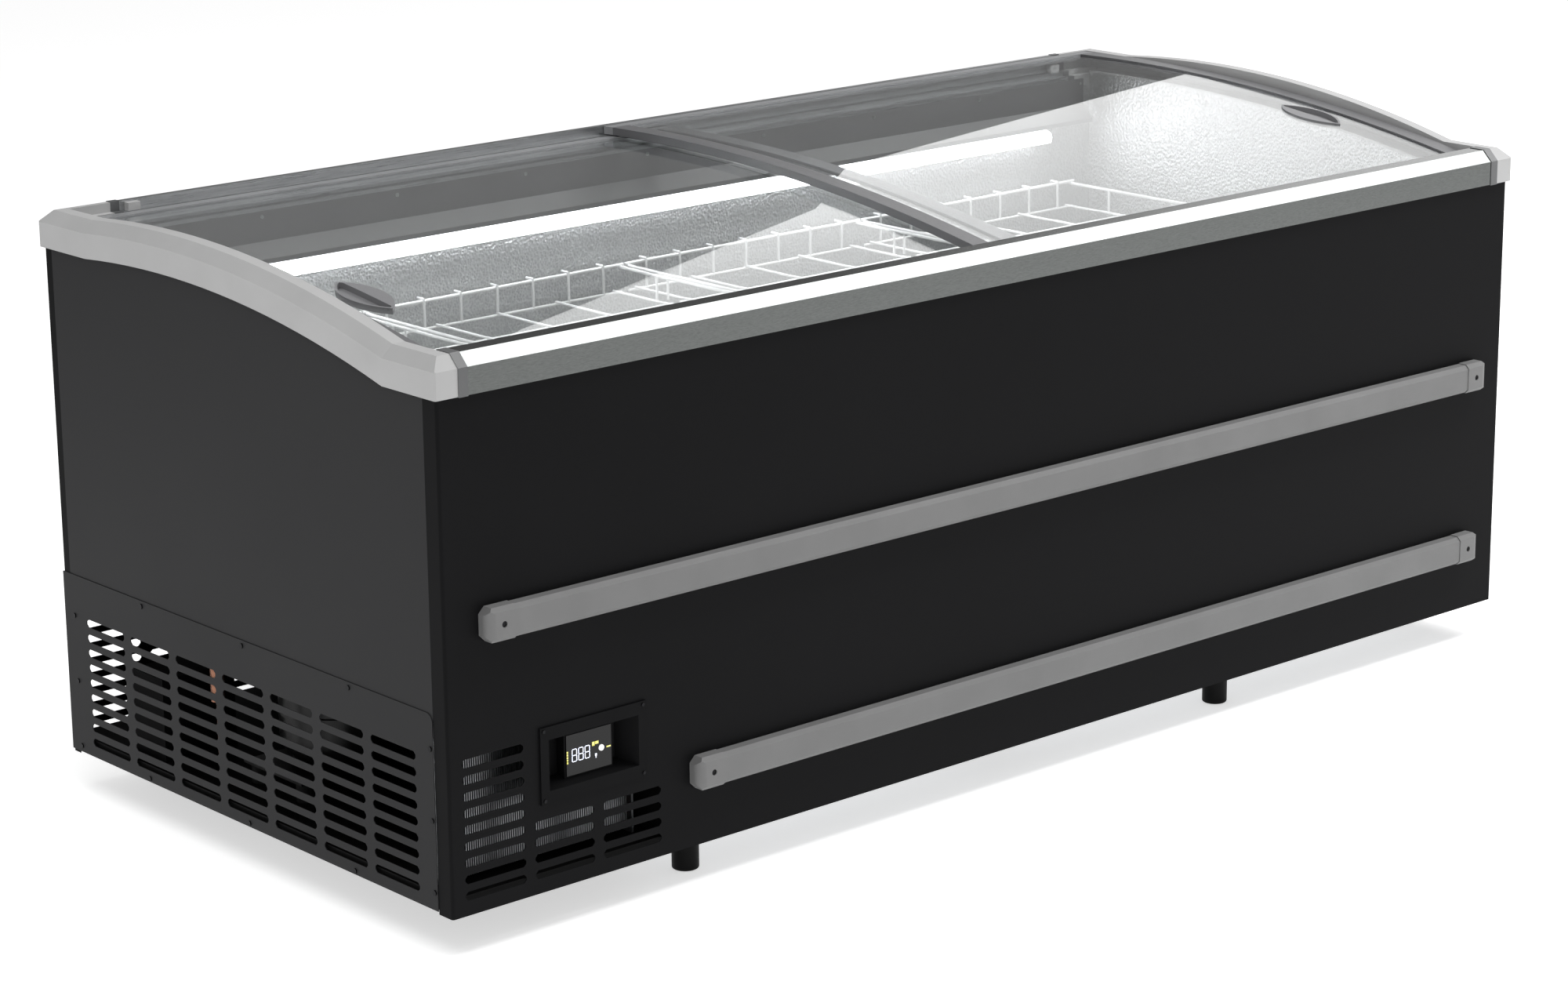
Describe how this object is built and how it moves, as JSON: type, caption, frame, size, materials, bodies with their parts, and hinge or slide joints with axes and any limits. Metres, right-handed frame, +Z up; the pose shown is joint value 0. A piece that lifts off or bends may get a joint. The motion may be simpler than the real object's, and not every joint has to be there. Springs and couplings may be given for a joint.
{
  "type": "chest freezer with sliding glass lids",
  "caption": "Long commercial chest freezer with curved sliding glass lids, wire baskets, bumper rails and a machine bay at one end.",
  "frame": {"origin": "On the floor, under the middle of the outline seen from above.", "axes": "+X runs along the cabinet from the machine bay end to the other end, +Y from the front to the rear, +Z up."},
  "size_m": [2.1, 0.9438, 0.8618],
  "materials": {
    "dark_sheet": "satin, fine texture",
    "grey_sheet": "satin",
    "zinc_sheet": "galvanised",
    "frame_paint": "matt black",
    "foot_plastic": "moulded",
    "zinc_nut": "zinc plated",
    "liner_sheet": "stucco embossed",
    "foam": "rigid foam",
    "white_plastic": "moulded",
    "copper": "drawn copper tube",
    "rail_aluminium": "brushed, anodised",
    "joiner_plastic": "moulded",
    "cap_plastic": "fine grained",
    "stop_rubber": "matt",
    "lid_glass": "clear, curved, tempered",
    "lid_profile": "extruded",
    "grip_plastic": "moulded",
    "brush_seal": "extruded",
    "canopy_sheet": "satin",
    "rivet": "domed",
    "lamp_body": "anodised",
    "lamp_lens": "opal",
    "basket_wire": "white epoxy",
    "bumper": "extruded, fine grained",
    "bezel": "moulded",
    "module": "moulded",
    "window": "polished",
    "button": "polished",
    "screw": "zinc plated",
    "compressor_paint": "gloss black",
    "grommet": "matt",
    "condenser": "mill finish fins",
    "shroud": "galvanised",
    "motor": "satin",
    "fan": "moulded",
    "ebox": "moulded"
  },
  "bodies": {
    "cabinet": {"front_panel": "dark_sheet", "rear_panel": "dark_sheet", "left_side_panel": "grey_sheet", "right_side_panel": "grey_sheet", "left_grille_panel": "grey_sheet", "base_frame": "frame_paint", "bottom_panel": "zinc_sheet", "foot_lock_nuts": "zinc_nut", "liner_tub": "liner_sheet", "insulation_foam": "foam", "drain_plug": "white_plastic", "evaporator_pipe": "copper", "front_rail": "rail_aluminium", "rear_rail": "rail_aluminium", "rail_joiners": "joiner_plastic", "left_end_cap": "cap_plastic", "right_end_cap": "cap_plastic", "lid_stops": "stop_rubber", "lamp_canopy": "canopy_sheet", "canopy_rivets": "rivet", "lamp_housing": "lamp_body", "lamp_diffuser": "lamp_lens", "wire_basket_1": "basket_wire", "wire_basket_2": "basket_wire", "wire_basket_3": "basket_wire", "wire_basket_4": "basket_wire", "bumper_rail_upper": "bumper", "bumper_rail_lower": "bumper", "bumper_end_caps": "bumper", "controller_bezel": "bezel", "controller_module": "module", "display_window": "window", "panel_screws": "screw", "machine_tray": "zinc_sheet", "compressor": "compressor_paint", "compressor_grommets": "grommet", "condenser_coil": "condenser", "fan_shroud": "shroud", "fan_motor": "motor", "refrigerant_pipes": "copper", "electrical_box": "ebox"},
    "left_lid": {"left_lid_glass": "lid_glass", "left_lid_front_profile": "lid_profile", "left_lid_rear_profile": "lid_profile", "left_lid_outer_profile": "lid_profile", "left_lid_centre_profile": "lid_profile", "left_lid_grip": "grip_plastic"},
    "right_lid": {"right_lid_glass": "lid_glass", "right_lid_front_profile": "lid_profile", "right_lid_rear_profile": "lid_profile", "right_lid_outer_profile": "lid_profile", "right_lid_centre_profile": "lid_profile", "right_lid_grip": "grip_plastic", "centre_seal": "brush_seal"},
    "fan": {"fan_blade": "fan"},
    "button": {"controller_button": "button"},
    "front_left_foot": {"foot_front_left": "foot_plastic"},
    "rear_left_foot": {"foot_rear_left": "foot_plastic"},
    "front_right_foot": {"foot_front_right": "foot_plastic"},
    "rear_right_foot": {"foot_rear_right": "foot_plastic"}
  },
  "joints": [
    {"name": "left_lid_slide", "type": "slide", "parent": "cabinet", "child": "left_lid", "axis": [1, 0, 0], "range_m": [0, 0.845]},
    {"name": "right_lid_slide", "type": "slide", "parent": "cabinet", "child": "right_lid", "axis": [-1, 0, 0], "range_m": [0, 0.845]},
    {"name": "fan_spin", "type": "hinge", "parent": "cabinet", "child": "fan", "pos_m": [-0.866, -0.3464, 0.196], "axis": [0, 1, 0], "continuous": true},
    {"name": "button_press", "type": "slide", "parent": "cabinet", "child": "button", "axis": [0, 1, 0], "range_m": [0, 0.0012], "stiffness_N_per_m": 1500, "springref_m": -0.0003},
    {"name": "front_left_foot_turn", "type": "hinge", "parent": "cabinet", "child": "front_left_foot", "pos_m": [-0.606, -0.3904, 0], "axis": [0, 0, 1], "continuous": true},
    {"name": "rear_left_foot_turn", "type": "hinge", "parent": "cabinet", "child": "rear_left_foot", "pos_m": [-0.606, 0.4056, 0], "axis": [0, 0, 1], "continuous": true},
    {"name": "front_right_foot_turn", "type": "hinge", "parent": "cabinet", "child": "front_right_foot", "pos_m": [0.457, -0.3904, 0], "axis": [0, 0, 1], "continuous": true},
    {"name": "rear_right_foot_turn", "type": "hinge", "parent": "cabinet", "child": "rear_right_foot", "pos_m": [0.457, 0.4056, 0], "axis": [0, 0, 1], "continuous": true}
  ]
}
